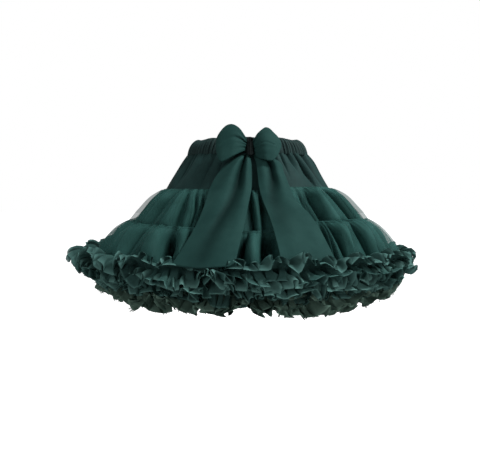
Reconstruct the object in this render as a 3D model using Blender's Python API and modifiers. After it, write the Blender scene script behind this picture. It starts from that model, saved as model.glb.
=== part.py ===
"""A child's tiered pettiskirt with a bow, filled out as it is worn.

Metres, +Z up. The origin is the centre of the waist, half way up the waistband, where the wearer holds the skirt up.
The front faces -Y and the wearer's left side is +X. An angle round the skirt is 0 at the centre front and 90 degrees at +X.
"""

import math
from collections import namedtuple

import bmesh
import bpy
from mathutils import Vector

# ---------------------------------------------------------------- driving sizes

SEAM_GAP = 0.0003  # between pieces that are sewn together
SATIN_WALL = 0.0014  # waistband, yoke and sash
CHIFFON_WALL = 0.0012  # tiers and frills
HALF_TURN = math.pi / 2  # a front or back panel reaches this far to each side

# One section of the skirt: an ellipse at a height.
Section = namedtuple("Section", "height half_width half_depth")

WAIST_TOP = Section(0.0125, 0.0900, 0.0705)
WAIST_SHOULDER = Section(0.0080, 0.0965, 0.0765)
WAIST_SEAM = Section(-0.0125, 0.1060, 0.0860)
HIP_SEAM = Section(-0.0745, 0.1490, 0.1330)
THIGH_SEAM = Section(-0.1270, 0.2050, 0.1950)
HEM_SEAM = Section(-0.1790, 0.2660, 0.2570)

UNDER_HIP = Section(-0.0765, 0.1420, 0.1260)
UNDER_THIGH = Section(-0.1360, 0.1900, 0.1800)
UNDER_HEM = Section(-0.2080, 0.2380, 0.2280)

# A row for each frill: the line it is stitched along, and where its upper and lower edges reach.
Frill = namedtuple("Frill", "name upper stitch lower")
FRILLS = (
    Frill(
        "frill_outer",
        Section(-0.1660, 0.2890, 0.2780),
        Section(-0.1800, 0.2700, 0.2610),
        Section(-0.2070, 0.2990, 0.2880),
    ),
    Frill(
        "frill_middle",
        Section(-0.1905, 0.2560, 0.2460),
        Section(-0.2000, 0.2440, 0.2340),
        Section(-0.2240, 0.2760, 0.2650),
    ),
    Frill(
        "frill_inner",
        Section(-0.2175, 0.2480, 0.2380),
        Section(-0.2110, 0.2290, 0.2190),
        Section(-0.2385, 0.2560, 0.2450),
    ),
)
FRILL_FOLDS = 40
FRILL_SWING = 0.0045  # how far a frill's edge swings in and out

WAIST_COLUMNS = 28  # across a front or back panel
TIER_COLUMNS = 48
TIER_ROWS = 3
TIER_FOLDS = 24  # round the whole skirt
TIER_FOLD_DEPTH = 0.0035
SIDE_SEAM_FLAT = 0.10  # the folds fade out this near a side seam, as a share of half a panel
TIER_PUFF = 0.0105  # how far a tier swells between its seams
UNDER_COLUMNS = 24
UNDER_FOLDS = 12
UNDER_FOLD_DEPTH = 0.0020
UNDER_PUFF = 0.0020
YOKE_PUFF = 0.0015

# The bow, tied at the centre front of the waistband.
KNOT_SIZE = Vector((0.0115, 0.0170, 0.0270))
KNOT_CENTRE = Vector((0.0, -0.0932, -0.0030))
KNOT_LEAN = math.radians(-30.0)  # it lies against the slope of the band
KNOT_EDGE = 0.0030
LOOP_GATHER = 0.0070  # where a loop goes into the knot, from the centre
LOOP_DEPTH = 0.0065  # half the space from its front face to its back face
LOOP_SLOPE = 0.20  # how fast a loop falls back with the band behind it
LOOP_TILT = 0.50  # how far a loop leans over the yoke, for each step down
LOOP_FORWARD = 0.0150  # how far a loop swells forward of the knot
LOOP_OPENS = 0.45  # the share of its reach in which a loop opens out
Loop = namedtuple("Loop", "name side reach middle top bottom")
LOOPS = (
    Loop("bow_loop_right", -1, 0.0545, 0.026, 0.0335, -0.0235),
    Loop("bow_loop_left", 1, 0.0545, 0.026, 0.0290, -0.0275),
)
LOOP_COLUMNS = 16
LOOP_ROWS = 3

# The tails, as rows from the knot to the cut end: how high, and the edges near and away from the centre.
TailRow = namedtuple("TailRow", "height near away")
RIGHT_TAIL = (
    TailRow(-0.0192, -0.0005, -0.0140),
    TailRow(-0.0300, 0.0030, -0.0300),
    TailRow(-0.0500, 0.0035, -0.0500),
    TailRow(-0.0720, 0.0038, -0.0605),
    TailRow(-0.0870, 0.0020, -0.0640),
    TailRow(-0.1080, -0.0025, -0.0695),
    TailRow(-0.1220, -0.0055, -0.0735),
    TailRow(-0.1380, -0.0100, -0.0810),
    TailRow(-0.1620, -0.0170, -0.0950),
)
LEFT_TAIL = (
    TailRow(-0.0192, 0.0040, 0.0180),
    TailRow(-0.0300, 0.0115, 0.0470),
    TailRow(-0.0500, 0.0138, 0.0550),
    TailRow(-0.0720, 0.0160, 0.0627),
    TailRow(-0.0870, 0.0200, 0.0680),
    TailRow(-0.1080, 0.0278, 0.0905),
    TailRow(-0.1220, 0.0325, 0.0985),
    TailRow(-0.1380, 0.0365, 0.1045),
    TailRow(-0.1620, 0.0405, 0.1140),
)
TAIL_COLUMNS = 6
TAIL_CLEARANCE = 0.0095  # from the skirt's own line to the tails
TAIL_FOLD = 0.0050  # how deep the soft fold down a tail is
RIGHT_FOLD_AT = 0.25  # the fold's place across a tail, from its near edge
LEFT_FOLD_AT = 0.35
FOLD_WIDTH = 0.14

# ---------------------------------------------------------------- materials

SATIN_GREEN = (0.016, 0.034, 0.032, 1.0)
SASH_GREEN = (0.022, 0.060, 0.054, 1.0)
CHIFFON_GREEN = (0.024, 0.060, 0.054, 1.0)
UNDER_GREEN = (0.014, 0.036, 0.032, 1.0)


def cloth(name, colour, roughness):
    material = bpy.data.materials.new(name)
    material.use_nodes = True
    shader = material.node_tree.nodes["Principled BSDF"]
    shader.inputs["Base Color"].default_value = colour
    shader.inputs["Roughness"].default_value = roughness
    shader.inputs["Metallic"].default_value = 0.0
    return material


# ---------------------------------------------------------------- shared shapes


def between(first, last, share):
    """The section that lies that share of the way from one section to another."""
    return Section(*(a + (b - a) * share for a, b in zip(first, last)))


def on_section(section, angle):
    return Vector(
        (
            section.half_width * math.sin(angle),
            -section.half_depth * math.cos(angle),
            section.height,
        )
    )


def outward(first, last, angle):
    """The direction away from the body, square to the cloth between two sections."""
    run = last.half_width - first.half_width
    drop = first.height - last.height
    slant = math.hypot(run, drop)
    return Vector(
        (math.sin(angle) * drop / slant, -math.cos(angle) * drop / slant, run / slant)
    )


def swell(share):
    """How far a gathered tier has filled out between its two seams: it leaves the upper one fast."""
    return math.sin(math.pi * share**0.55)


def draped(name, columns, rows, place, wall, closed=False):
    """A piece of cloth: a flat grid, laid out by place(across, down), with a wall on its inner side."""
    shape = bmesh.new()
    bmesh.ops.create_grid(shape, x_segments=columns, y_segments=rows, size=0.5)
    for vertex in shape.verts:
        vertex.co = place(vertex.co.x + 0.5, 0.5 - vertex.co.y)
    if closed:
        bmesh.ops.remove_doubles(shape, verts=shape.verts, dist=0.00001)
    mesh = bpy.data.meshes.new(name)
    shape.to_mesh(mesh)
    shape.free()
    mesh.shade_smooth()
    piece = bpy.data.objects.new(name, mesh)
    skirt.objects.link(piece)
    thicken = piece.modifiers.new("wall", "SOLIDIFY")
    thicken.thickness = wall
    thicken.offset = -1.0
    thicken.use_even_offset = True
    return piece


def panel(name, sections, centre, columns, rows, wall, material, folds=0, depth=0.0, puff=0.0):
    """A front or back panel between seams: it is cut back from the seams above, below and at its sides."""
    first, last = sections[0], sections[-1]
    height = first.height - last.height
    steps = len(sections) - 1

    def place(across, down):
        turn = HALF_TURN - SEAM_GAP / first.half_width
        angle = centre + (across * 2 - 1) * turn
        trimmed = min(max(down, SEAM_GAP / height), 1 - SEAM_GAP / height)
        step = min(int(trimmed * steps), steps - 1)
        section = between(sections[step], sections[step + 1], trimmed * steps - step)
        flat = min(1.0, (1 - abs(across * 2 - 1)) / SIDE_SEAM_FLAT)
        fold = depth * math.cos(folds * angle) * min(1.0, 0.35 + swell(down)) * flat
        lift = puff * swell(down) + fold
        return on_section(section, angle) + outward(first, last, angle) * lift

    piece = draped(name, columns, rows, place, wall)
    piece.data.materials.append(material)
    return piece


def front_and_back(name, sections, columns, rows, wall, material, **shape):
    for side, centre in (("front", 0.0), ("back", math.pi)):
        panel(f"{name}_{side}", sections, centre, columns, rows, wall, material, **shape)


# ---------------------------------------------------------------- frills


def frill(row, material):
    """A gathered strip, closed round the hem, stitched along its middle so that both its edges stand out."""

    def place(across, down):
        angle = across * math.tau
        if down < 0.5:
            section = between(row.upper, row.stitch, down * 2)
        else:
            section = between(row.stitch, row.lower, down * 2 - 1)
        loose = abs(down * 2 - 1)
        swing = FRILL_SWING * loose * math.cos(FRILL_FOLDS * angle)
        away = Vector((math.sin(angle), -math.cos(angle), 0.0))
        return on_section(section, angle) + away * swing

    piece = draped(row.name, FRILL_FOLDS * 2, 2, place, CHIFFON_WALL, closed=True)
    piece.data.materials.append(material)


# ---------------------------------------------------------------- bow and tails


def loop_outline(loop, share):
    """(top, bottom) of a loop at a share of its reach from the knot: narrow, then full, then turned over."""
    peak = loop.middle / loop.reach
    if share < peak:
        rise = math.sin(math.pi / 2 * share / peak)
    else:
        rise = 1.0 - 0.62 * ((share - peak) / (1.0 - peak)) ** 1.5
    middle = (loop.top + loop.bottom) / 2
    half = (loop.top - loop.bottom) / 2 * (0.30 + 0.70 * rise)
    return middle + half, middle - half


def bow_loop(loop, material):
    """One loop of the bow: a band that leaves the knot, turns over at its far end and comes back behind."""

    def place(across, down):
        turn = across * math.pi
        share = math.sin(turn)
        top, bottom = loop_outline(loop, share)
        away = LOOP_GATHER + (loop.reach - LOOP_GATHER) * share
        depth = LOOP_DEPTH * math.cos(turn) * (0.35 + 0.65 * share)
        belly = 0.0025 * math.sin(math.pi * down) * math.cos(turn) * share
        height = top + (bottom - top) * down
        open_out = math.sin(math.pi / 2 * min(1.0, share / LOOP_OPENS))
        back = LOOP_SLOPE * away + LOOP_TILT * (height - KNOT_CENTRE.z) * open_out
        forward = LOOP_FORWARD * open_out + depth + belly
        return Vector((loop.side * away, KNOT_CENTRE.y + back - forward, height))

    piece = draped(loop.name, LOOP_COLUMNS, LOOP_ROWS, place, SATIN_WALL)
    piece.data.materials.append(material)
    if loop.side < 0:
        piece.data.flip_normals()


def knot(material):
    bpy.ops.mesh.primitive_cube_add(size=1.0, location=KNOT_CENTRE, rotation=(KNOT_LEAN, 0.0, 0.0))
    piece = bpy.context.object
    piece.name = "bow_knot"
    for collection in list(piece.users_collection):
        collection.objects.unlink(piece)
    skirt.objects.link(piece)
    piece.scale = KNOT_SIZE
    bpy.ops.object.transform_apply(location=False, rotation=True, scale=True)
    rounded = piece.modifiers.new("rounded", "BEVEL")
    rounded.width = KNOT_EDGE
    rounded.segments = 3
    piece.data.materials.append(material)


SLOPE = (WAIST_SHOULDER, WAIST_SEAM, HIP_SEAM, THIGH_SEAM, HEM_SEAM)


def front_of_skirt(side, height, clear):
    """The point in front of the skirt, at that height and that far to the side, and clear of its puffs and folds."""
    for upper, lower in zip(SLOPE, SLOPE[1:]):
        if height >= lower.height:
            break
    share = (upper.height - height) / (upper.height - lower.height)
    section = between(upper, lower, share)
    puff = TIER_PUFF if upper in (HIP_SEAM, THIGH_SEAM) else YOKE_PUFF
    reach = section.half_depth - (puff * swell(share) + clear) / outward(upper, lower, 0.0).y
    curve = math.sqrt(1.0 - (side / section.half_width) ** 2)
    return Vector((side, -reach * curve, height))


def tail(name, rows, fold_at, material):
    """One end of the sash, spreading from the knot over the front of the skirt, with one soft fold down it."""
    steps = len(rows) - 1

    def place(across, down):
        step = min(int(down * steps), steps - 1)
        share = down * steps - step
        height, near, away = (
            a + (b - a) * share for a, b in zip(rows[step], rows[step + 1])
        )
        fold = math.exp(-(((across - fold_at) / FOLD_WIDTH) ** 2)) * TAIL_FOLD
        spread = min(1.0, 0.3 + down * 2)
        side = near + (away - near) * across
        return front_of_skirt(side, height, (TAIL_CLEARANCE + TAIL_FOLD - fold) * spread)

    piece = draped(name, TAIL_COLUMNS, steps, place, SATIN_WALL)
    piece.data.materials.append(material)
    if rows[-1].away < 0:
        piece.data.flip_normals()


# ---------------------------------------------------------------- the skirt

for leftover in list(bpy.data.objects):
    bpy.data.objects.remove(leftover)

skirt = bpy.data.collections.new("pettiskirt")
bpy.context.scene.collection.children.link(skirt)

satin = cloth("dark_satin", SATIN_GREEN, 0.55)
sash = cloth("sash_satin", SASH_GREEN, 0.50)
chiffon = cloth("sheer_chiffon", CHIFFON_GREEN, 0.75)
under_chiffon = cloth("under_chiffon", UNDER_GREEN, 0.80)

front_and_back(
    "waistband",
    (WAIST_TOP, WAIST_SHOULDER, WAIST_SEAM),
    WAIST_COLUMNS,
    2,
    SATIN_WALL,
    satin,
)
front_and_back(
    "yoke",
    (WAIST_SEAM, HIP_SEAM),
    WAIST_COLUMNS,
    2,
    SATIN_WALL,
    satin,
    puff=YOKE_PUFF,
)
for tier_name, tier_sections in (
    ("upper_tier", (HIP_SEAM, THIGH_SEAM)),
    ("lower_tier", (THIGH_SEAM, HEM_SEAM)),
):
    front_and_back(
        tier_name,
        tier_sections,
        TIER_COLUMNS,
        TIER_ROWS,
        CHIFFON_WALL,
        chiffon,
        folds=TIER_FOLDS,
        depth=TIER_FOLD_DEPTH,
        puff=TIER_PUFF,
    )
for tier_name, tier_sections in (
    ("under_tier_upper", (UNDER_HIP, UNDER_THIGH)),
    ("under_tier_lower", (UNDER_THIGH, UNDER_HEM)),
):
    front_and_back(
        tier_name,
        tier_sections,
        UNDER_COLUMNS,
        2,
        CHIFFON_WALL,
        under_chiffon,
        folds=UNDER_FOLDS,
        depth=UNDER_FOLD_DEPTH,
        puff=UNDER_PUFF,
    )
for frill_row in FRILLS:
    frill(frill_row, chiffon)

knot(sash)
for bow_half in LOOPS:
    bow_loop(bow_half, sash)
tail("sash_tail_right", RIGHT_TAIL, RIGHT_FOLD_AT, sash)
tail("sash_tail_left", LEFT_TAIL, LEFT_FOLD_AT, sash)
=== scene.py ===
"""A child's dark green pettiskirt, filled out as it is worn, with a sash bow at the front.

Metres, +Z up, origin at the centre of the waist. The front faces -Y. A turn is an angle round the body,
0 at the centre front and growing towards +X.
"""

import math

import bpy
import numpy as np
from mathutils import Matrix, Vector


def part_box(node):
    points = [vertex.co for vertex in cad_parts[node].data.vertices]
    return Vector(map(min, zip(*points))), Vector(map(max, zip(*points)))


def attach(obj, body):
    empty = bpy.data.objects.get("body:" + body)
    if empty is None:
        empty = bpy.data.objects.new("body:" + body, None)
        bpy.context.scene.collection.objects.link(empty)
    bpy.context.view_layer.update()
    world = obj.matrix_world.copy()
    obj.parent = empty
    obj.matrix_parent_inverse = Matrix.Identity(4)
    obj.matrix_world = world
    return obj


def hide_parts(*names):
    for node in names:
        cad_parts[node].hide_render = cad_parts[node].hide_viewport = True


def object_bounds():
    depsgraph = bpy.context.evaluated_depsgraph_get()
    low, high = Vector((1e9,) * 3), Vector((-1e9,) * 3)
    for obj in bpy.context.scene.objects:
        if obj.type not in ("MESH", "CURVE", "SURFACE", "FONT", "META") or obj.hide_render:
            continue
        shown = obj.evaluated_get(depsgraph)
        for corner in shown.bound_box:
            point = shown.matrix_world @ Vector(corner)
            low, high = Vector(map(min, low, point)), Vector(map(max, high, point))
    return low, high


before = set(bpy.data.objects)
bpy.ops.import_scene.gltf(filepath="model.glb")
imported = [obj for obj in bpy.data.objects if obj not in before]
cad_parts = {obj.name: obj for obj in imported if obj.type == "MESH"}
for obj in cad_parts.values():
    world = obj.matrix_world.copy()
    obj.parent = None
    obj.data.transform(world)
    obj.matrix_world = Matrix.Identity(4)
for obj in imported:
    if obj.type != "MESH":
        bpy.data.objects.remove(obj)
cad_low, cad_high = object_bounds()

# ======================================================================== waistband
# A casing of dark green satin folded over a flat elastic. The elastic draws it into fine upright ruches,
# and its folded upper edge rolls over softly. It is sewn to the yoke along its lower edge.


def lower_seam(tier):
    """Half width, half depth and height of the seam along the lower edge of a front and back pair."""
    front_low, front_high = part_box(tier + "_front")
    back_low, back_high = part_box(tier + "_back")
    return np.array((front_high.x, (back_high.y - front_low.y) / 2, front_low.z))


def moved(seam, out=0.0, up=0.0):
    return seam + np.array((out, out, up))


def smooth(low, high, value):
    """Rises from 0 to 1 between low and high, with soft ends."""
    share = np.clip((value - low) / (high - low), 0.0, 1.0)
    return share * share * (3 - 2 * share)


def round_body(seam, turn):
    """Points on a seam, or on a stack of seams, at these turns."""
    return np.stack((seam[..., 0] * np.sin(turn), -seam[..., 1] * np.cos(turn), seam[..., 2] + turn * 0), -1)


def uneven_folds(count, seed, unevenness, fullness):
    """(turns where folds meet, how full each fold is) for folds of uneven width all round, starting at the back."""
    chance = np.random.default_rng(seed)
    widths = chance.uniform(1 - unevenness, 1 + unevenness, count)
    meets = np.concatenate(((0.0,), np.cumsum(widths))) / widths.sum() * math.tau - math.pi
    return meets, chance.uniform(fullness, 1.0, count)


def fold_rise(turn, folds, roundness, fallen=0.0):
    """How far the cloth stands out over its folds: full on each crest, 0 in the valley between two folds.
    A fold that has fallen over is steeper on one side than on the other."""
    meets, full = folds
    at = (turn - meets[0]) % math.tau + meets[0]
    fold = np.clip(np.searchsorted(meets, at, side="right") - 1, 0, len(full) - 1)
    share = (at - meets[fold]) / (meets[fold + 1] - meets[fold])
    share = share ** (1 + fallen * np.sin(fold * 2.4))
    return full[fold] * np.abs(np.sin(np.pi * share)) ** roundness


def cloth(name, points, joined, strips, width, raw_edges=0.0, painted_shade=None):
    """A piece of cloth from a net of points, columns round the body and rows down it; joined closes the ring.
    The layout of the cut piece goes with it: along, across, and how near a raw edge each point is. A net from 0 to
    1 gives the painted shade: how much darker the cloth is painted in its valleys, creases, slots and gathers."""
    columns, rows = points.shape[:2]
    spans = columns if joined else columns - 1
    column, row = np.meshgrid(np.arange(spans), np.arange(rows - 1), indexing="ij")
    following = (column + 1) % columns
    corners = np.stack(
        (column * rows + row, column * rows + row + 1, following * rows + row + 1, following * rows + row), -1
    ).reshape(-1, 4)
    mesh = bpy.data.meshes.new(name)
    mesh.from_pydata(points.reshape(-1, 3).tolist(), [], corners.tolist())
    mesh.shade_smooth()

    place = column * strips / spans
    strip = np.floor(place)
    left = (place - strip) * 0.98
    right = left + strips / spans * 0.98
    top = (strip + 0.04 + 0.92 * row / (rows - 1)) / strips
    bottom = (strip + 0.04 + 0.92 * (row + 1) / (rows - 1)) / strips
    layout = mesh.uv_layers.new(name="OFBake")
    flat = np.stack((left, top, left, bottom, right, bottom, right, top), -1)
    layout.data.foreach_set("uv", np.clip(flat, 0, 1).ravel())

    length = np.linalg.norm(np.diff(points, axis=0), axis=-1).max(1).sum()
    along = np.repeat(np.linspace(0, length, columns)[:, None], rows, 1)
    across = np.repeat(np.linspace(0, width, rows)[None, :], columns, 0)
    edge = np.zeros_like(across)
    if raw_edges:
        edge = np.exp(-np.minimum(across, width - across) / raw_edges)
    lay = mesh.attributes.new("lay", "FLOAT_VECTOR", "POINT")
    lay.data.foreach_set("vector", np.stack((along, across, edge), -1).ravel())
    # painted shade: how much darker the cloth is painted where it lies in shade
    painted_shade_map = mesh.attributes.new("painted_shade_map", "FLOAT", "POINT")
    painted_shade_map.data.foreach_set("value", (np.zeros_like(across) if painted_shade is None else painted_shade).ravel())

    piece = bpy.data.objects.new(name, mesh)
    bpy.context.collection.objects.link(piece)
    return piece


def dyed_with_painted_shade(name, deep, pale, sheen, roughness, opacity=1.0, thread=0.0005, slub=0.25, edge_pale=0.0, relief=0.25):
    """A dyed cloth: uneven dye, slubs along the grain, a fine weave and a soft sheen. Its raw edges are paler, partly
    the cut edge and partly a painted highlight where light catches them, and painted shade darkens its valleys.
    """
    material = bpy.data.materials.new(name)
    material.use_nodes = True
    nodes, links = material.node_tree.nodes, material.node_tree.links
    finish = nodes["Principled BSDF"]
    finish.inputs["Roughness"].default_value = roughness
    finish.inputs["Sheen Weight"].default_value = sheen
    finish.inputs["Sheen Roughness"].default_value = 0.45
    finish.inputs["Sheen Tint"].default_value = (0.20, 0.80, 0.72, 1.0)
    finish.inputs["Specular IOR Level"].default_value = 0.03
    finish.inputs["Alpha"].default_value = opacity

    def node(kind, **values):
        made = nodes.new(kind)
        for key, value in values.items():
            if hasattr(made, key):
                setattr(made, key, value)
            else:
                made.inputs[key].default_value = value
        return made

    def sum_of(operation, first, second):
        made = node("ShaderNodeMath", operation=operation)
        for socket, value in zip(made.inputs, (first, second)):
            if isinstance(value, float):
                socket.default_value = value
            else:
                links.new(value, socket)
        return made.outputs[0]

    lay = node("ShaderNodeAttribute", attribute_name="lay")
    parts = node("ShaderNodeSeparateXYZ")
    links.new(lay.outputs["Vector"], parts.inputs[0])
    body = node("ShaderNodeTexCoord")

    dye = node("ShaderNodeTexNoise", Scale=26.0, Detail=4.0, Roughness=0.6)
    links.new(body.outputs["Object"], dye.inputs["Vector"])
    grain = node("ShaderNodeMapping")
    grain.inputs["Scale"].default_value = (900.0, 60.0, 1.0)
    links.new(lay.outputs["Vector"], grain.inputs["Vector"])
    slubs = node("ShaderNodeTexNoise", Scale=1.0, Detail=3.0, Roughness=0.65)
    links.new(grain.outputs[0], slubs.inputs["Vector"])

    even_part = sum_of("MULTIPLY", dye.outputs["Fac"], 1.0 - slub)
    tone = sum_of("ADD", even_part, sum_of("MULTIPLY", slubs.outputs["Fac"], slub))
    ramp = node("ShaderNodeValToRGB")
    ramp.color_ramp.elements[0].position, ramp.color_ramp.elements[1].position = 0.34, 0.68
    ramp.color_ramp.elements[0].color, ramp.color_ramp.elements[1].color = (*deep, 1.0), (*pale, 1.0)
    links.new(tone, ramp.inputs["Fac"])
    # paler raw edges: partly the cut edge's own paler colour, partly a painted highlight where light catches it
    pale_and_lit_edge = node("ShaderNodeMix", data_type="RGBA")
    links.new(sum_of("MULTIPLY", parts.outputs["Z"], edge_pale), pale_and_lit_edge.inputs["Factor"])
    links.new(ramp.outputs["Color"], pale_and_lit_edge.inputs["A"])
    pale_and_lit_edge.inputs["B"].default_value = tuple(min(1.0, channel * 3.0 + 0.03) for channel in pale) + (1.0,)
    # painted shade: the colour is multiplied darker where the cloth's painted-shade net says it lies in shade
    painted_shade_map = node("ShaderNodeAttribute", attribute_name="painted_shade_map")
    painted_shading = node("ShaderNodeMix", data_type="RGBA", blend_type="MULTIPLY")
    links.new(painted_shade_map.outputs["Fac"], painted_shading.inputs["Factor"])
    links.new(pale_and_lit_edge.outputs["Result"], painted_shading.inputs["A"])
    painted_shading.inputs["B"].default_value = (0.27, 0.30, 0.31, 1.0)
    links.new(painted_shading.outputs["Result"], finish.inputs["Base Color"])

    warp = sum_of("SINE", sum_of("MULTIPLY", parts.outputs["X"], math.tau / thread), 0.0)
    weft = sum_of("SINE", sum_of("MULTIPLY", parts.outputs["Y"], math.tau / thread), 0.0)
    weave = sum_of("MULTIPLY", warp, weft)
    height = sum_of("ADD", sum_of("MULTIPLY", weave, 0.12), slubs.outputs["Fac"])
    bump = node("ShaderNodeBump", Strength=relief, Distance=0.0004)
    links.new(height, bump.inputs["Height"])
    links.new(bump.outputs["Normal"], finish.inputs["Normal"])
    uneven = node("ShaderNodeMapRange")
    uneven.inputs["To Min"].default_value = roughness - 0.08
    uneven.inputs["To Max"].default_value = roughness + 0.10
    links.new(slubs.outputs["Fac"], uneven.inputs["Value"])
    links.new(uneven.outputs["Result"], finish.inputs["Roughness"])
    return material


def dressed(piece, finish, slot, *nodes):
    """Gives a piece its cloth, hangs it from the body's root, and hides the solids it stands for. The slot is not
    used.
    """
    piece.data.materials.append(finish)
    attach(piece, "root")
    if nodes:
        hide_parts(*nodes)
    return piece


band_seam = lower_seam("waistband")
band_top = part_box("waistband_front")[1].z
band_height = band_top - band_seam[2]
BAND_COLUMNS, BAND_ROWS = 1200, 26
RUCHES = uneven_folds(92, 3, 0.35, 0.60)
FINE_RUCHES = uneven_folds(210, 4, 0.3, 0.3)

# the casing's outline, from its lower seam up the outside, over the roll and down the inside
CASING = (
    # how far up, how far in from the seam's line, how deep the ruches are
    (-0.12, 0.0022, 0.0020),
    (-0.11, 0.0002, 0.0026),
    (-0.02, 0.0000, 0.0034),
    (0.22, 0.0016, 0.0042),
    (0.50, 0.0044, 0.0044),
    (0.72, 0.0078, 0.0040),
    (0.87, 0.0118, 0.0034),
    (0.95, 0.0150, 0.0026),
    (0.98, 0.0172, 0.0018),
    (0.95, 0.0190, 0.0014),
    (0.80, 0.0180, 0.0012),
    (0.40, 0.0115, 0.0010),
    (0.02, 0.0060, 0.0006),
)
casing_at = np.linspace(0, 1, len(CASING))
casing_up, casing_in, casing_depth = (
    np.interp(np.linspace(0, 1, BAND_ROWS), casing_at, column) for column in zip(*CASING)
)
turn = np.linspace(-math.pi, math.pi, BAND_COLUMNS, endpoint=False)[:, None]
lean = turn + 0.012 * casing_up[None, :] * np.sin(turn * 5 + 1.0)
ruche = fold_rise(lean, RUCHES, 0.7, 0.5) + 0.25 * fold_rise(lean + 0.01 * casing_up[None, :], FINE_RUCHES, 1.0)
out = -casing_in[None, :] + casing_depth[None, :] * (ruche - 0.75)
seams = band_seam + np.stack((out, out, casing_up[None, :] * band_height + turn * 0), -1)
dip = 0.0012 * np.sin(turn * 9 + 2) * casing_up[None, :]
points = round_body(seams, lean)
points[..., 2] += dip
# painted shade: the casing is painted darker in the valleys between its ruches
waistband = cloth("waistband", points, True, 12, 0.055, painted_shade=0.8 * smooth(0.75, 0.15, ruche))
satin = dyed_with_painted_shade("dark_green_satin", (0.013, 0.025, 0.024), (0.024, 0.046, 0.045), 0.05, 0.52, relief=0.20)
dressed(waistband, satin, "waistband", "waistband_front", "waistband_back")

# ======================================================================== yoke
# The first tier, one smooth dark cloth cut as a short flared ring. It is eased into the band, so fine gathers
# run down from the upper seam and die out, and a few soft slanting folds show on the wearer's left.

HITCHED_UP = 0.008  # how far the seams below are drawn up on the wearer's left
HUNG_DOWN = 0.005  # how far they hang lower at the centre front, under the bow


def uneven_hang(turn):
    """How far the seams below the yoke rise above their own level at these turns."""
    hitched = smooth(0.18, 0.50, turn) * (1 - smooth(1.0, 1.6, turn))
    return HITCHED_UP * hitched - HUNG_DOWN * np.exp(-((turn / 0.20) ** 2))


def between(upper, lower, turn, down):
    """The seams on the way down from one seam to the next, one for each turn and each share of the way."""
    share = (down + 0 * turn)[..., None]
    return upper * (1 - share) + lower * share


yoke_seam = lower_seam("yoke")
YOKE_COLUMNS, YOKE_ROWS = 1000, 36
YOKE_FOLDS = uneven_folds(40, 11, 0.5, 0.35)
YOKE_SOFT = uneven_folds(17, 12, 0.5, 0.4)
EASE_DEPTH, LONG_FOLD_DEPTH, SOFT_FOLD_DEPTH = 0.0034, 0.0110, 0.0120
YOKE_OUTWARD, YOKE_UPWARD = 0.80, 0.60  # the way that the sloping cloth faces

turn = np.linspace(-math.pi, math.pi, YOKE_COLUMNS, endpoint=False)[:, None]
down = np.linspace(0, 1, YOKE_ROWS)[None, :]
seams = between(moved(band_seam, -0.0034, 0.0030), moved(yoke_seam, -0.0010, -0.0030), turn, down)
slant = turn - 0.05 * down * np.sin(turn)
ease = (fold_rise(slant, RUCHES, 0.7, 0.5) - 0.75) * np.exp(-down / 0.16)
long_folds = (fold_rise(slant, YOKE_FOLDS, 0.8, 0.5) - 0.5) * np.exp(-((down - 0.22) ** 2) / 0.09)
wearer_left = 0.45 + 0.55 * smooth(-0.2, 0.8, np.sin(turn) * np.cos(turn / 2))
diagonal = slant - 0.10 * down * smooth(0.0, 0.6, np.sin(turn))
soft = (fold_rise(diagonal, YOKE_SOFT, 0.8, 0.5) - 0.5) * np.sin(np.pi * down**0.8) ** 0.8
stand = EASE_DEPTH * ease + (LONG_FOLD_DEPTH * long_folds + SOFT_FOLD_DEPTH * soft) * wearer_left
out = stand - 0.0004
points = round_body(seams, slant)
points += round_body(np.array((YOKE_OUTWARD, YOKE_OUTWARD, 0.0)), slant) * out[..., None]
points[..., 2] += out * YOKE_UPWARD + 0.4 * uneven_hang(slant) * down
# painted shade: the yoke is painted darker in the valleys of its folds
valleys = smooth(0.0, -0.005, stand)
yoke = cloth("yoke", points, True, 10, 0.08, painted_shade=0.65 * valleys)
yoke_cloth = dyed_with_painted_shade("smooth_dark_green", (0.012, 0.029, 0.028), (0.019, 0.047, 0.045), 0.03, 0.60, relief=0.12)
dressed(yoke, yoke_cloth, "yoke", "yoke_front", "yoke_back")

# ======================================================================== under layer
# Two tiers of the same chiffon hang beneath the sheer ones, close and opaque in their gathers, and hold the
# skirt out. They are gathered into the yoke seam, and again half way down.

# the valleys between the big folds across the front: their turn in degrees at the upper and at the lower seam,
# how full the fold up to the next valley is (below 0, a gap that opens inwards), and how far that fold leans over
UPPER_FRONT_FOLDS = (
    (-84, -84, 0.8, 0.2), (-66, -68, 0.9, 0.7), (-45, -51, 1.0, 0.8), (-39.5, -32, 0.8, 0.8), (-32.5, -25, 0.6, 0.5),
    (-28, -21, 0.5, 0.5), (-22, -15, 0.6, 0.0), (-10, -8, 0.5, 0.0), (1.5, 2.0, 0.9, 0.0), (6.5, 6.0, 0.5, 0.0),
    (16, 15, 0.6, 0.5), (30.5, 30, 0.35, 0.0), (34.5, 34, 1.0, -0.8), (53.5, 53, 0.9, -0.8), (68, 66, 0.85, -0.3),
)
LOWER_FRONT_FOLDS = (
    (-86, -86, 0.8, 0.3), (-68, -66, 0.85, 0.6), (-46.5, -46, 1.0, 0.9), (-33.5, -28, -0.3, 0.0),
    (-31, -25, 0.8, 0.4), (-24, -20, 0.7, 0.4), (-12, -12, 0.5, 0.0), (-3.0, -3.4, -0.4, 0.0), (-0.2, -1.9, 0.9, 0.0),
    (5.4, 3.0, -0.5, 0.0), (9.5, 8.5, 0.6, 0.0), (19, 17, 0.6, 0.3), (29.7, 26, 0.7, -0.3), (32.8, 31.5, 1.0, -0.9),
    (48, 43, 1.0, -0.8), (64, 60, 0.85, -0.3),
)


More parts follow.
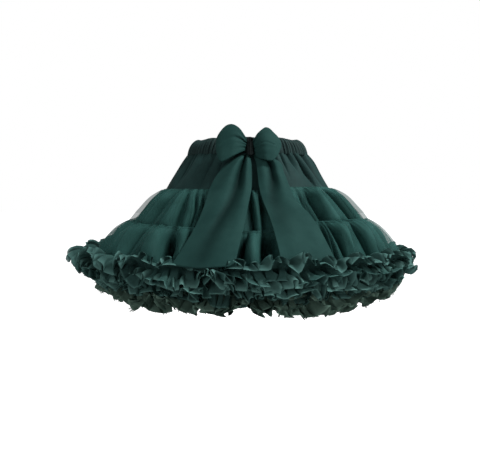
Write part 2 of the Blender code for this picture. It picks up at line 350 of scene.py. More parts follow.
def placed_folds(front, last, round_back, seed):
    """Folds placed across the front from a table, and uneven ones round the back. The table's last fold
    ends at last, in degrees."""
    chance = np.random.default_rng(seed)
    widths = chance.uniform(0.6, 1.4, round_back)
    span = 360 + front[0][0] - last
    back = last + np.concatenate(((0.0,), np.cumsum(widths))) / widths.sum() * span
    slipped = back + np.concatenate(((0.0,), chance.uniform(-4, 4, round_back - 1), (0.0,)))
    at_top = np.radians([row[0] for row in front] + list(back))
    at_bottom = np.radians([row[1] for row in front] + list(slipped))
    full = np.array([row[2] for row in front] + list(chance.uniform(0.55, 1.0, round_back)))
    lean = np.array([row[3] for row in front] + list(chance.uniform(-0.9, 0.9, round_back)))
    return at_top, at_bottom, full, lean


def stitch_line(name, in_by, up_by):
    """A line of stitches that a frill is gathered on, inside the reach of its solid."""
    low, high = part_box(name)
    return np.array((high.x - in_by, high.y - in_by, low.z + up_by))


ROLLS_FROM = 0.62  # how far down a tier the cloth begins to roll back under itself
FLATTER_CENTRE = 0.35  # how much shallower the folds are at the centre front
PAINTED_SHADE_RIGHT = 0.35  # how much more painted shade the valleys get on the wearer's right, away from the key lamp, and how much less on the left


def tier_points(upper, lower, columns, rows, folds, gathers, sizes, hem=()):
    """A gathered tier between two seams. It swells out below the upper seam, falls in big rounded folds that lean
    over deep narrow valleys, and rolls back under itself into the lower seam. Short gathers start at both seams.
    Below the last seam the cloth goes on flat behind the frills, down to the last line of stitches in hem.
    sizes gives the depths in metres, how round the folds are, and how much of the uneven hang each seam takes.
    With the points comes the painted shade: the fold valleys, the seam gathers and the roll under are painted darker."""
    at_top, at_bottom, full, lean = folds
    turn = np.linspace(-math.pi, math.pi, columns, endpoint=False)[:, None]
    down = np.linspace(0, 1, rows)[None, :]
    seams = between(upper, lower, turn, down)
    at = turn + 0.012 * np.sin(turn * 7 + 1.3) * np.sin(np.pi * down) + 0.005 * np.sin(turn * 23 + 5 * down)
    place = np.stack(
        [
            np.interp((at[:, row] - valleys[0]) % math.tau + valleys[0], valleys, np.arange(len(valleys)))
            for row, valleys in enumerate(at_top + (at_bottom - at_top) * share for share in down[0])
        ],
        1,
    )
    fold = np.clip(place.astype(int), 0, len(full) - 1)
    big = full[fold] * np.abs(np.sin(np.pi * (place - fold))) ** sizes["roundness"]
    leaning = np.interp(place, np.arange(len(full)) + 0.5, lean)
    rolled = np.clip((down - ROLLS_FROM) / (1 - ROLLS_FROM), 0, 1)
    free = smooth(0.0, 0.05, down) * smooth(1.0, 0.95, down)
    depth = sizes["folds"] * (0.22 + 0.78 * smooth(0.0, 0.45, down)) * (1 - 0.75 * rolled**3)
    depth = depth * (1 - FLATTER_CENTRE * np.exp(-((turn / 0.13) ** 2)))
    fine = fold_rise(at, gathers, 0.8, 0.4)
    near_seams = np.exp(-down / 0.20) * smooth(0.0, 0.03, down) + 0.8 * np.exp(-(1 - down) / 0.10)
    swell = sizes["swell"] * np.sin(np.pi * down**0.75) ** 0.8
    out = swell + depth * (big - 0.72) + sizes["gathers"] * near_seams * (fine - 0.5)
    out = (out - 0.004 * rolled**4) * free
    run, drop = lower[0] - upper[0], upper[2] - lower[2]
    slant = math.hypot(run, drop)
    pouch = sizes["pouch"] * (0.35 + 0.65 * big) * np.sin(np.pi * rolled**1.35)
    sideways = depth * leaning * (np.maximum(big, 0) - 0.5) / (seams[..., 0] + seams[..., 1]) * 2
    turned = turn + sideways
    points = round_body(seams, turned)
    points += round_body(np.array((drop / slant, drop / slant, 0.0)), turned) * out[..., None]
    points += round_body(np.array((run / slant, run / slant, 0.0)), turned) * pouch[..., None]
    hang_above, hang_below = sizes["hang"]
    points[..., 2] += out * run / slant - pouch * drop / slant - sizes["sag"] * down * np.sin(turn) ** 4
    points[..., 2] += uneven_hang(turn) * (hang_above * (1 - down) + hang_below * down)
    # painted shade: the big folds' valleys, the gathers by the seams and the roll under into the lower seam are
    # painted darker, more so on the wearer's right
    painted_shade = 0.65 * smooth(0.50, 0.08, big) * smooth(0.02, 0.25, down) + 0.5 * near_seams * smooth(0.4, 0.0, fine)
    painted_shade = np.clip(painted_shade * (1 - PAINTED_SHADE_RIGHT * np.sin(turn)) + 0.6 * rolled**4, 0, 1)
    for line in hem:
        behind_frill = round_body(line + 0 * turned[:, -1:], turned[:, -1])
        behind_frill[:, 2] = np.minimum(behind_frill[:, 2], points[:, -1, 2] - 0.001)
        points = np.concatenate((points, behind_frill[:, None]), 1)
        painted_shade = np.concatenate((painted_shade, painted_shade[:, -1:]), 1)
    return points, painted_shade


upper_seam = lower_seam("upper_tier")
hem_seam = lower_seam("lower_tier")
under_seam = moved(upper_seam, -0.007, -0.004)
OUTER_HEM = stitch_line("frill_outer", 0.034, 0.030), stitch_line("frill_outer", 0.036, 0.016)
UNDER_HEM = (
    stitch_line("frill_middle", 0.030, 0.020), stitch_line("frill_middle", 0.025, 0.010),
    stitch_line("frill_inner", 0.012, 0.018),
)
UPPER_FOLDS = placed_folds(UPPER_FRONT_FOLDS, 82, 13, 21)
LOWER_FOLDS = placed_folds(LOWER_FRONT_FOLDS, 78, 15, 22)
UPPER_GATHERS = uneven_folds(96, 23, 0.5, 0.4)
LOWER_GATHERS = uneven_folds(120, 24, 0.5, 0.4)

under_chiffon = dyed_with_painted_shade(
    "under_chiffon", (0.015, 0.050, 0.044), (0.026, 0.082, 0.074), 0.05, 0.65, relief=0.08, slub=0.12
)
points, painted_shade = tier_points(
    moved(yoke_seam, -0.003, 0.002), under_seam, 760, 40, UPPER_FOLDS, UPPER_GATHERS,
    {
        "roundness": 0.58, "folds": 0.036, "swell": 0.0050, "gathers": 0.0050, "pouch": 0.010, "sag": 0.0,
        "hang": (0.4, 1),
    },
)
under_upper = cloth("under_upper_tier", points, True, 10, 0.085, painted_shade=painted_shade)
dressed(under_upper, under_chiffon, "under_tiers", "under_tier_upper_front", "under_tier_upper_back")
points, painted_shade = tier_points(
    under_seam, UNDER_HEM[0], 900, 44, LOWER_FOLDS, LOWER_GATHERS,
    {
        "roundness": 0.58, "folds": 0.042, "swell": 0.0170, "gathers": 0.0050, "pouch": 0.0, "sag": 0.0,
        "hang": (1, 0),
    },
    UNDER_HEM[1:],
)
under_lower = cloth("under_lower_tier", points, True, 10, 0.1, painted_shade=painted_shade)
dressed(under_lower, under_chiffon, "under_tiers", "under_tier_lower_front", "under_tier_lower_back")

# ======================================================================== sheer tiers
# The outer layer, two tiers of sheer green chiffon, each cut longer than the one above it and gathered into its
# seam. Where the light comes through it beyond the under layer, it is almost clear.

chiffon = dyed_with_painted_shade(
    "sheer_chiffon", (0.024, 0.078, 0.070), (0.038, 0.118, 0.108), 0.06, 0.60, opacity=0.44, relief=0.08, slub=0.12
)
points, painted_shade = tier_points(
    yoke_seam, upper_seam, 1000, 44, UPPER_FOLDS, UPPER_GATHERS,
    {
        "roundness": 0.55, "folds": 0.033, "swell": 0.0070, "gathers": 0.0048, "pouch": 0.016, "sag": 0.0,
        "hang": (0.4, 1),
    },
)
upper_tier = cloth("sheer_upper_tier", points, True, 10, 0.09, painted_shade=painted_shade)
dressed(upper_tier, chiffon, "outer_tiers", "upper_tier_front", "upper_tier_back")
points, painted_shade = tier_points(
    upper_seam, OUTER_HEM[0], 1100, 44, LOWER_FOLDS, LOWER_GATHERS,
    {
        "roundness": 0.55, "folds": 0.038, "swell": 0.0080, "gathers": 0.0048, "pouch": 0.0, "sag": 0.011,
        "hang": (1, 0),
    },
    OUTER_HEM[1:],
)
lower_tier = cloth("sheer_lower_tier", points, True, 12, 0.09, painted_shade=painted_shade)
dressed(lower_tier, chiffon, "outer_tiers", "lower_tier_front", "lower_tier_back")

# ======================================================================== frills
# Narrow chiffon strips, cut raw on both edges and gathered very full on a line some way inside the upper edge, so
# that both edges stand out in folded petals. Two go round the outer hem, three round the under layer's hem.

FRILL_COLUMNS = 18  # to each petal
HEADING_ROWS, FALL_ROWS = 6, 11
LEAST_OPEN = 0.24  # the least share of its own cloth that a petal takes up along the stitches
TRIM_FROM, TRIM_LEFT = 0.002, 0.006  # how far below the hem trimming starts, and how much is left beyond that
PETAL_SPREAD, EDGE_SPREAD = 0.26, 0.10  # how much the reach varies from petal to petal, and along the edge
SHORTER_LEFT = 0.22  # how much shorter the frills are at the wearer's left side
MOST_WAVE, LEAST_REACH = 0.80, 0.40  # how far a fold may stand off its petal, as shares of the reach
TUFTS, FRINGE, LONG_FRINGE = 130, 0.0045, 0.009


def petal_headings(petals, chance, bend):
    """The way a strip's edge runs at each column of each petal: along the outer face, in, along the bottom, and out
    again, with sharp folded corners. Every petal has its own widths and angles."""
    place = (np.arange(FRILL_COLUMNS) + 0.5)[None, :] / FRILL_COLUMNS
    face, bottom = chance.uniform(0.24, 0.38, (petals, 1)), chance.uniform(0.08, 0.20, (petals, 1))
    side = (1 - face - bottom) / 2
    inward, outward = chance.uniform(0.72, 1.08, (2, petals, 1)) * bend
    skew = chance.uniform(-0.25, 0.25, (petals, 1))

    def turned(corner):
        return 0.5 + 0.5 * np.tanh((place - corner) / 0.04)

    heading = -inward * (turned(face) - turned(face + side)) + outward * (turned(face + side + bottom) - turned(1.0))
    return heading + skew * np.sin(math.tau * place)


def loose_wave(turn, cycles, seed):
    chance = np.random.default_rng(seed)
    waves = ((chance.integers(cycles // 2, cycles), chance.uniform(0, math.tau)) for _ in range(4))
    return sum(np.sin(turn * often + start) for often, start in waves) / 4


def folded(headings, full, free):
    """The way a strip's edge runs at this share of its reach. Petals that fold back too far are opened a little,
    as their faces would be drawn out long between them."""
    way = headings * full[:, None] * free**0.35
    for _ in range(24):
        too_far = np.cos(way).sum(1, keepdims=True) < LEAST_OPEN * FRILL_COLUMNS
        way = np.where(too_far, way * 0.96, way)
    return way


def frill_points(stitch, up, fall, petals, sizes, seed):
    """A strip ruffled on its stitch line. Each edge folds in and out, further the further it is from the stitches,
    and each petal leans and swings its own way. Under the wearer's right tail the heading is pressed flat."""
    chance = np.random.default_rng(seed)
    meets, full = uneven_folds(petals, seed, 0.40, 0.85)
    middles = (meets[:-1] + meets[1:]) / 2
    widths = np.diff(meets)[:, None]
    radius = (stitch[0] + stitch[1]) / 2
    halves = {
        "heading": (petal_headings(petals, chance, sizes["bend"]), *chance.uniform(-1, 1, (3, petals))),
        "fall": (petal_headings(petals, chance, sizes["bend"]), *chance.uniform(-1, 1, (3, petals))),
    }
    distances = [("heading", share) for share in np.linspace(1, 0, HEADING_ROWS, endpoint=False)]
    distances += [("fall", share) for share in np.linspace(0, 1, FALL_ROWS)]
    net = []
    for half, free in distances:
        headings, leans, swings, lengths = halves[half]
        way = folded(headings, full, free)
        ahead = np.cumsum(np.cos(way), 1) - np.cos(way)
        aside = np.cumsum(np.sin(way), 1) - np.sin(way)
        total = np.cos(way).sum(1, keepdims=True)
        aside -= aside[:, -1:] * np.linspace(0, 1, FRILL_COLUMNS)
        turn = (meets[:-1, None] + widths * ahead / total).ravel()
        wave = (aside / total * widths * radius).ravel()
        wave -= wave.mean()
        lean, swing, length = (np.interp(turn, middles, each, period=math.tau) for each in (leans, swings, lengths))
        distance = free * (up if half == "heading" else fall)
        reach = distance * (1 + PETAL_SPREAD * length + EDGE_SPREAD * loose_wave(turn, 60, seed + 1))
        if half == "heading":
            pressed = smooth(-23, -19, np.degrees(turn)) * (1 - smooth(-6, -2, np.degrees(turn)))
            reach *= 1 - sizes["pressed"] * pressed
            lift = sizes["up_lift"] - sizes["up_curl"] * free**2
            wave = -wave
        else:
            lift = -sizes["fall_drop"] + sizes["fall_curl"] * free**2
            reach *= 1 - sizes["side_short"] * np.sin(turn) ** 4
            droop = np.exp(-(((turn - 0.35) / 0.12) ** 2)) + 1.6 * np.exp(-((turn / 0.07) ** 2))
            reach *= 1 + sizes["droop"] * droop
        wearer_right = smooth(-0.55, -0.95, np.sin(turn))
        reach *= 1 + sizes["side_reach"] * wearer_right * (1.0 if half == "heading" else 0.4)
        reach *= 1 - SHORTER_LEFT * smooth(0.70, 0.98, np.sin(turn))
        lift = lift - sizes["side_reach"] * wearer_right * (half == "heading")
        wave = np.clip(wave, -MOST_WAVE * reach, MOST_WAVE * reach)
        reach = np.sqrt(np.maximum(reach**2 - wave**2, (LEAST_REACH * reach) ** 2))
        lift = lift + free**0.7 * (sizes["tumble"] * lean + 0.25 * loose_wave(turn, 24, seed + 2))
        line = round_body(stitch + 0 * turn[:, None], turn)
        outward = np.stack((np.sin(turn), -np.cos(turn)), -1)
        sideways = np.stack((np.cos(turn), np.sin(turn)), -1)
        away = reach * np.cos(lift) - wave * np.sin(lift)
        line[:, :2] += outward * away[:, None] + sideways * (sizes["swing"] * free * distance * swing)[:, None]
        line[:, 2] += reach * np.sin(lift) + wave * np.cos(lift) + 0.003 * loose_wave(turn, 16, seed + 4)
        line[:, 2] += sizes["side_rise"] * np.sin(turn) ** 4
        # the longest petals are trimmed level, a little below the hem
        too_long = np.maximum(cad_low[2] - TRIM_FROM - line[:, 2], 0)
        line[:, 2] += too_long - TRIM_LEFT * np.tanh(too_long / TRIM_LEFT)
        net.append(line)
    return np.stack(net, 1)


def frayed(name, net, finish, tufts, long, seed):
    """Loose threads along a frill's two raw edges, in tufts where the edge has frayed most."""
    chance = np.random.default_rng(seed)
    corners, faces = [], []
    for edge, inner in ((net[:, 0], net[:, 2]), (net[:, -1], net[:, -3])):
        grown = edge - inner
        grown /= np.maximum(np.linalg.norm(grown, axis=1, keepdims=True), 1e-6)
        step = np.roll(edge, -1, 0) - edge
        for tuft in chance.integers(0, len(edge), tufts):
            combed = chance.normal(0, 0.14, 3) + np.array((0, 0, -0.12))
            reach = long * chance.uniform(0.35, 1.0)
            for at in (tuft + np.arange(chance.integers(2, 8))) % len(edge):
                for _ in range(3):
                    length = reach * chance.uniform(0.5, 1.0)
                    width = step[at] / max(np.linalg.norm(step[at]), 1e-6) * chance.uniform(0.00015, 0.00035)
                    root = edge[at] - grown[at] * 0.0010 + step[at] * chance.uniform(0, 1)
                    bent = grown[at] + combed + chance.normal(0, 0.06, 3)
                    middle = root + (grown[at] + bent) / 2 * length * 0.5
                    tip = middle + bent * length * 0.5
                    first = len(corners)
                    corners += [root - width, root + width, middle - width * 0.8, middle + width * 0.8, tip]
                    faces += [(first, first + 1, first + 3, first + 2), (first + 2, first + 3, first + 4)]
    mesh = bpy.data.meshes.new(name)
    mesh.from_pydata([tuple(corner) for corner in corners], [], faces)
    piece = bpy.data.objects.new(name, mesh)
    bpy.context.collection.objects.link(piece)
    return dressed(piece, finish, "frills")


OUTER_FRILL = {
    "bend": 2.32, "tumble": 0.60, "swing": 0.55, "pressed": 0.72, "side_reach": 0.42, "side_rise": -0.011,
    "side_short": 0.0, "droop": 0.0,
    "up_lift": math.radians(60), "up_curl": math.radians(35),
    "fall_drop": math.radians(48), "fall_curl": math.radians(12),
}
UNDER_FRILL = {
    **OUTER_FRILL, "up_lift": math.radians(28), "tumble": 0.55, "pressed": 0.0,
    "side_reach": 0.20, "side_rise": 0.0, "side_short": 0.38,
}
LOWEST_FRILL = {
    **UNDER_FRILL, "fall_drop": math.radians(58), "tumble": 0.70,
    "side_reach": 0.1, "side_rise": 0.008, "droop": 0.20,
}
frill_chiffon = dyed_with_painted_shade(
    "frill_chiffon", (0.020, 0.050, 0.045), (0.034, 0.084, 0.077), 0.05, 0.62,
    opacity=0.95, edge_pale=0.45, relief=0.08,
)
close_chiffon = dyed_with_painted_shade(
    "close_frill_chiffon", (0.026, 0.060, 0.054), (0.044, 0.102, 0.092), 0.05, 0.62, edge_pale=0.45, relief=0.08
)
# a paler copy of the frill chiffon: the lowest frills are painted lighter for the light that reaches them from below
low_chiffon_painted_lit = dyed_with_painted_shade(
    "low_frill_chiffon", (0.044, 0.078, 0.062), (0.080, 0.136, 0.108), 0.05, 0.66, edge_pale=0.30, relief=0.08
)

FRILLS = (
    # name, the solid it stands for, stitch line, heading, fall, petals, kind, cloth, length before it was gathered
    ("outer_frill", "frill_outer", OUTER_HEM[0], 0.025, 0.030, 104, OUTER_FRILL, frill_chiffon, 4.3),
    ("outer_frill_lower", None, OUTER_HEM[1], 0.022, 0.030, 120, UNDER_FRILL, close_chiffon, 4.3),
    ("middle_frill", "frill_middle", UNDER_HEM[0], 0.022, 0.030, 114, UNDER_FRILL, close_chiffon, 4.1),
    ("middle_frill_lower", None, UNDER_HEM[1], 0.012, 0.027, 126, LOWEST_FRILL, low_chiffon_painted_lit, 4.1),
    ("inner_frill", "frill_inner", UNDER_HEM[2], 0.010, 0.028, 127, LOWEST_FRILL, low_chiffon_painted_lit, 4.0),
)
for place, (name, solid, stitch, up, fall, petals, kind, finish, long) in enumerate(FRILLS):
    net = frill_points(stitch, up, fall, petals, kind, 31 + place)
    from_stitches = np.abs(np.linspace(-up, fall, net.shape[1]))[None, :] + 0 * net[..., 0]
    # painted shade along the stitch line, where the gathers crowd together
    painted_stitch_shade = 0.7 * np.exp(-((from_stitches / 0.007) ** 2))
    frill = cloth(name, net, True, 16, up + fall, raw_edges=0.0015, painted_shade=painted_stitch_shade)
    dressed(frill, finish, "frills", *([solid] if solid else []))
    threads = frayed(name + "_threads", net, finish, TUFTS, LONG_FRINGE if place > 2 else FRINGE, 51 + place)

# ======================================================================== bow
# A sash of green satin tied in two loops at the centre front. Each loop is doubled over, gathered into a small
# knot, and stands up past the band's upper edge. The knot is painted near black for the deep shade between the loops.


def curved(table, at):
    """A smooth line through a short table of (place, value) rows."""
    places, values = (np.array(column, float) for column in zip(*table))
    slopes = np.gradient(values, places)
    span = np.clip(np.searchsorted(places, at, side="right") - 1, 0, len(places) - 2)
    step = places[span + 1] - places[span]
    share = np.clip((at - places[span]) / step, 0, 1)
    square, cube = share**2, share**3
    return (
        (2 * cube - 3 * square + 1) * values[span]
        + (cube - 2 * square + share) * step * slopes[span]
        + (3 * square - 2 * cube) * values[span + 1]
        + (cube - square) * step * slopes[span + 1]
    )


def thickened(piece, thickness):
    wall = piece.modifiers.new("cloth_thickness", "SOLIDIFY")
    wall.thickness = thickness
    wall.offset = 0.0
    return piece


SASH_THICKNESS = 0.0007
knot_low, knot_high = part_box("bow_knot")
knot_middle = (knot_low + knot_high) / 2
sash_satin = dyed_with_painted_shade("sash_satin", (0.011, 0.037, 0.034), (0.017, 0.052, 0.047), 0.02, 0.70, relief=0.10)

# how far from the knot as a share of the loop's reach, and the heights of its upper and lower edges
RIGHT_LOOP_TOP = (
    (0.0, 0.0080), (0.08, 0.0140), (0.20, 0.0225), (0.36, 0.0290), (0.50, 0.0312), (0.68, 0.0285),
    (0.84, 0.0205), (0.95, 0.0120), (1.0, 0.0060),
)
RIGHT_LOOP_BOTTOM = (
    (0.0, -0.0100), (0.20, -0.0150), (0.36, -0.0190), (0.50, -0.0228), (0.70, -0.0280), (0.82, -0.0298),
    (0.93, -0.0230), (1.0, -0.0100),
)
LEFT_LOOP_TOP = (
    (0.0, 0.0030), (0.10, 0.0118), (0.30, 0.0215), (0.45, 0.0258), (0.55, 0.0250), (0.75, 0.0168),
    (0.92, 0.0080), (1.0, 0.0010),
)
LEFT_LOOP_BOTTOM = (
    (0.0, -0.0180), (0.12, -0.0222), (0.35, -0.0262), (0.55, -0.0285), (0.68, -0.0280), (0.85, -0.0200),
    (1.0, -0.0060),
)


def bow_loop(name, side, start, reach, top, bottom, creases):
    round_loop = np.linspace(0, 1, 72)[:, None]
    down = np.linspace(0, 1, 40)[None, :]
    share = np.sin(np.pi * round_loop) ** 0.85
    high, low = curved(top, share), curved(bottom, share)
    height = high + (low - high) * down
    away = start + (reach - start) * share
    face = np.cos(np.pi * round_loop)
    opened = np.sin(np.pi / 2 * np.clip(share / 0.5, 0, 1))
    belly = np.sin(np.pi * down) ** 0.7
    depth = face * (0.0022 + 0.0062 * share + 0.0040 * belly * opened)
    fall_back = 0.18 * away + 0.50 * (height - knot_middle.z) * opened
    forward = 0.0135 * opened + depth
    for place, width, deep, fade in creases:
        crease = np.exp(-(((down - place) / width) ** 2)) * np.exp(-share / fade)
        forward = forward - deep * crease * (face > 0) * np.abs(face) ** 0.3
    points = np.stack((side * away + 0 * down, knot_middle.y + 0.001 + fall_back - forward, height), -1)
    loop = cloth(name, points[::-1] if side < 0 else points, False, 1, 0.06)
    return dressed(thickened(loop, SASH_THICKNESS), sash_satin, "sash", name)


# how far down the loop a crease lies, how wide and how deep it is, and how far from the knot it fades
RIGHT_CREASES = (
    (0.42, 0.06, 0.0060, 0.40), (0.62, 0.06, 0.0020, 0.25), (0.80, 0.06, 0.0030, 0.20), (0.20, 0.05, 0.0015, 0.2),
)
LEFT_CREASES = (
    (0.46, 0.022, 0.0012, 3.0), (0.15, 0.06, 0.0035, 0.2), (0.60, 0.06, 0.0040, 0.22), (0.82, 0.05, 0.0030, 0.2),
)
bow_right = bow_loop("bow_loop_right", -1, 0.0030, 0.0520, RIGHT_LOOP_TOP, RIGHT_LOOP_BOTTOM, RIGHT_CREASES)
bow_left = bow_loop("bow_loop_left", 1, 0.0072, 0.0525, LEFT_LOOP_TOP, LEFT_LOOP_BOTTOM, LEFT_CREASES)

# the knot, a short band pulled tight round the gathers, pinched into three upright folds
round_knot = np.linspace(0, math.tau, 64, endpoint=False)[:, None]
up_knot = np.linspace(0, 1, 22)[None, :]
knot_half = (knot_high.x - knot_low.x) / 2 * (0.92 + 0.10 * np.abs(up_knot * 2 - 1) ** 2)
knot_deep = 0.0085 * (0.90 + 0.10 * np.abs(up_knot * 2 - 1) ** 2)
pinch = 1 + 0.10 * np.cos(round_knot * 9 + 0.5) * np.sin(np.pi * up_knot) ** 0.5
knot_x = knot_half * np.sin(round_knot) * pinch + 0.0025
knot_y = -knot_deep * np.cos(round_knot) * pinch
knot_z = (0.5 - up_knot) * 0.0265 + 0 * round_knot
knot_lean = math.radians(30)
points = np.stack(
    (
        knot_x,
        knot_middle.y + knot_y * math.cos(knot_lean) + knot_z * math.sin(knot_lean),
        knot_middle.z - 0.001 + knot_y * math.sin(knot_lean) + knot_z * math.cos(knot_lean),
    ),
    -1,
)
knot = cloth("bow_knot", points, True, 1, 0.03)
# the knot's satin is painted near black for the deep shade between the loops
knot_satin_painted_shade = dyed_with_painted_shade("knot_satin_painted_shade", (0.003, 0.005, 0.005), (0.006, 0.009, 0.009), 0.0, 0.70, relief=0.2)
dressed(thickened(knot, SASH_THICKNESS), knot_satin_painted_shade, "sash", "bow_knot")

# ======================================================================== sash tails
# The two ends of the sash hang from the knot and spread over the yoke and both tiers. Each has one deep soft fold
# where it comes out of the knot, and is cut straight across at the end.

SLOPE_SEAMS = (band_seam + np.array((-0.0090, -0.0095, 0.0200)), band_seam, yoke_seam, upper_seam, hem_seam)


def over_skirt(side, height, clear):
    """Points in front of the skirt at these heights and sideways places, clear of the line from seam to seam."""
    heights = [seam[2] for seam in SLOPE_SEAMS][::-1]
    depth = np.interp(height, heights, [seam[1] for seam in SLOPE_SEAMS][::-1]) + clear
    width = np.interp(height, heights, [seam[0] for seam in SLOPE_SEAMS][::-1]) + clear
    return np.stack((side, -depth * np.sqrt(1 - (side / width) ** 2), height), -1)


# how far down the tail, and the sideways places of its edges near and away from the centre
RIGHT_TAIL_NEAR = (
    (0.0, 0.0020), (0.08, 0.0040), (0.22, 0.0045), (0.37, 0.0035), (0.48, -0.0005), (0.62, -0.0055),
    (0.72, -0.0095), (0.83, -0.0140), (1.0, -0.0210),
)
RIGHT_TAIL_AWAY = (
    (0.0, -0.0090), (0.08, -0.0290), (0.22, -0.0490), (0.37, -0.0610), (0.48, -0.0650), (0.62, -0.0720),
    (0.72, -0.0790), (0.83, -0.0890), (1.0, -0.1050),
)
LEFT_TAIL_NEAR = (
    (0.0, 0.0060), (0.08, 0.0110), (0.22, 0.0138), (0.37, 0.0160), (0.48, 0.0200), (0.62, 0.0278),
    (0.72, 0.0325), (0.83, 0.0365), (1.0, 0.0410),
)
LEFT_TAIL_AWAY = (
    (0.0, 0.0180), (0.08, 0.0460), (0.22, 0.0560), (0.37, 0.0640), (0.48, 0.0700), (0.62, 0.0890),
    (0.72, 0.0985), (0.83, 0.1060), (1.0, 0.1160),
)


def sash_tail(name, near, away, ridges, slot_fold, hem_up, seed):
    """One tail. Ridges stand up off the skirt, and between them a narrow fold stays down as a slot, painted darker as
    its shade.
    """
    low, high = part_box(name)
    across = np.linspace(0, 1, 90)[:, None]
    down = np.linspace(0, 1, 80)[None, :]
    height = high.z + 0.004 + (low.z + hem_up - high.z - 0.004) * down + 0 * across
    side = curved(near, down) + (curved(away, down) - curved(near, down)) * across
    stand = np.zeros_like(height)
    for start_at, end_at, width, spread, high_by, faded in ridges:
        place = start_at + (end_at - start_at) * down
        ridge = np.exp(-(((across - place) / (width + spread * down)) ** 2))
        stand = stand + high_by * ridge * np.exp(-((down / faded) ** 2)) * smooth(0.0, 0.08, down)
    places, width, spread, faded = slot_fold
    from_slot = (across - curved(places, down)) / (width + spread * down)
    pinched = np.exp(-(from_slot**2)) * np.exp(-((down / faded) ** 4))
    stand = stand * (1 - 0.95 * pinched)
    clear = 0.0025 + 0.004 * smooth(0.0, 0.25, down) + 0.011 * smooth(0.25, 0.60, down) + stand
    chance = np.random.default_rng(seed)
    ripple = sum(np.sin(across * chance.uniform(6, 14) + chance.uniform(0, 6)) for _ in range(3)) / 3
    clear = clear + 0.0025 * ripple * smooth(0.35, 1.0, down)
    height = height + 0.0014 * np.sin(across * 6 + 1) * smooth(0.8, 1.0, down)
    points = over_skirt(side, height, clear)
    if name.endswith("right"):
        points = points[::-1]
        pinched = pinched[::-1]
    # painted shade: the slot between the ridges is painted darker
    piece = cloth(name, points, False, 1, 0.10, painted_shade=0.95 * pinched**0.6)
    return dressed(thickened(piece, SASH_THICKNESS), sash_satin, "sash", name)


# where a ridge starts and ends across the tail, how wide it is, how it spreads, how high, how far down it fades
RIGHT_TAIL_RIDGES = ((0.60, 0.72, 0.24, 0.20, 0.0180, 0.85), (0.16, 0.12, 0.15, 0.06, 0.0130, 0.90))
RIGHT_TAIL_SLOT = (
    ((0.0, 0.36), (0.17, 0.345), (0.33, 0.337), (0.52, 0.41), (0.62, 0.50), (1.0, 0.62)), 0.07, 0.10, 0.95,
)
LEFT_TAIL_RIDGES = ((0.80, 0.75, 0.24, 0.22, 0.0130, 0.75), (0.28, 0.08, 0.22, 0.02, 0.0090, 0.65))
LEFT_TAIL_SLOT = (
    ((0.0, 0.56), (0.1, 0.55), (0.33, 0.48), (0.5, 0.32), (0.7, 0.20), (1.0, 0.15)), 0.055, 0.26, 0.60,
)
tail_right = sash_tail(
    "sash_tail_right", RIGHT_TAIL_NEAR, RIGHT_TAIL_AWAY, RIGHT_TAIL_RIDGES, RIGHT_TAIL_SLOT, -0.012, 41
)
tail_left = sash_tail(
    "sash_tail_left", LEFT_TAIL_NEAR, LEFT_TAIL_AWAY, LEFT_TAIL_RIDGES, LEFT_TAIL_SLOT, -0.006, 42
)

# ======================================================================== studio
# A plain white floor far below the hem, soft light from all round, and a large soft lamp high on the wearer's
# left. The camera stands close in front, at the level of the yoke's lower seam.

FLOOR_REACH, FLOOR_DROP = 12.0, 0.45

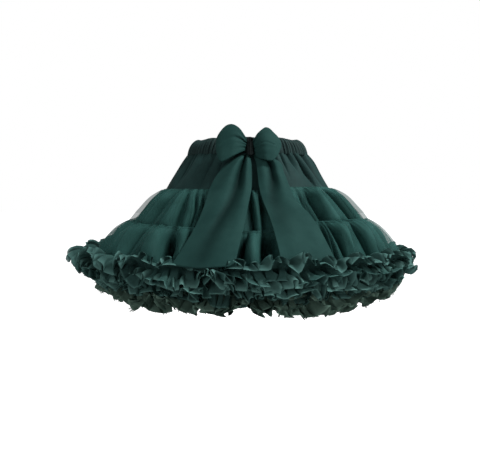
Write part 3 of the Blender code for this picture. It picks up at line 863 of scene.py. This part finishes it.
low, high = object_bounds()
floor_mesh = bpy.data.meshes.new("studio_floor")
floor_corners = ((-1, -1), (1, -1), (1, 1), (-1, 1))
floor_mesh.from_pydata(
    [(x * FLOOR_REACH, y * FLOOR_REACH, low.z - FLOOR_DROP) for x, y in floor_corners], [], [(0, 1, 2, 3)]
)
floor = bpy.data.objects.new("studio_floor", floor_mesh)
bpy.context.collection.objects.link(floor)
floor_paint = bpy.data.materials.new("floor_paint")
floor_paint.use_nodes = True
white = floor_paint.node_tree.nodes["Principled BSDF"]
white.inputs["Base Color"].default_value = (0.95, 0.95, 0.95, 1.0)
white.inputs["Roughness"].default_value = 0.9
white.inputs["Emission Color"].default_value = (1.0, 1.0, 1.0, 1.0)
white.inputs["Emission Strength"].default_value = 1.0
floor.visible_diffuse = False
floor.visible_glossy = False
floor_mesh.materials.append(floor_paint)

world = bpy.data.worlds.new("studio")
world.use_nodes = True
sky_nodes, sky_links = world.node_tree.nodes, world.node_tree.links
seen = sky_nodes.new("ShaderNodeLightPath")
strength = sky_nodes.new("ShaderNodeMapRange")
strength.inputs["To Min"].default_value = 0.33
strength.inputs["To Max"].default_value = 1.0
sky_links.new(seen.outputs["Is Camera Ray"], strength.inputs["Value"])
sky_nodes["Background"].inputs["Color"].default_value = (1.0, 1.0, 1.0, 1.0)
sky_links.new(strength.outputs["Result"], sky_nodes["Background"].inputs["Strength"])
bpy.context.scene.world = world


def soft_lamp(name, place, aim, size, power):
    lamp = bpy.data.lights.new(name, "AREA")
    lamp.shape = "DISK"
    lamp.size = size
    lamp.energy = power
    holder = bpy.data.objects.new(name, lamp)
    holder.location = place
    holder.rotation_euler = (Vector(aim) - Vector(place)).to_track_quat("-Z", "Y").to_euler()
    bpy.context.collection.objects.link(holder)


middle = (0.0, 0.0, (low.z + high.z) / 2)
soft_lamp("key_lamp", (1.5, -0.35, 1.9), middle, 0.6, 72.0)
soft_lamp("side_lamp", (1.8, -0.7, 0.2), middle, 0.8, 16.0)
soft_lamp("fill_lamp", (-1.3, -1.5, 0.4), middle, 1.2, 9.0)
soft_lamp("low_fill_lamp", (0.3, -1.5, -1.1), middle, 1.4, 16.0)

camera = bpy.data.cameras.new("camera")
camera.sensor_width = 36.0
camera.lens = 39.6
camera_holder = bpy.data.objects.new("camera", camera)
camera_holder.location = (-0.0135, -0.95, -0.070)
camera_holder.rotation_euler = (math.radians(90 - 4.17), 0.0, 0.0)
bpy.context.collection.objects.link(camera_holder)
bpy.context.scene.camera = camera_holder
bpy.context.scene.view_settings.view_transform = "Standard"
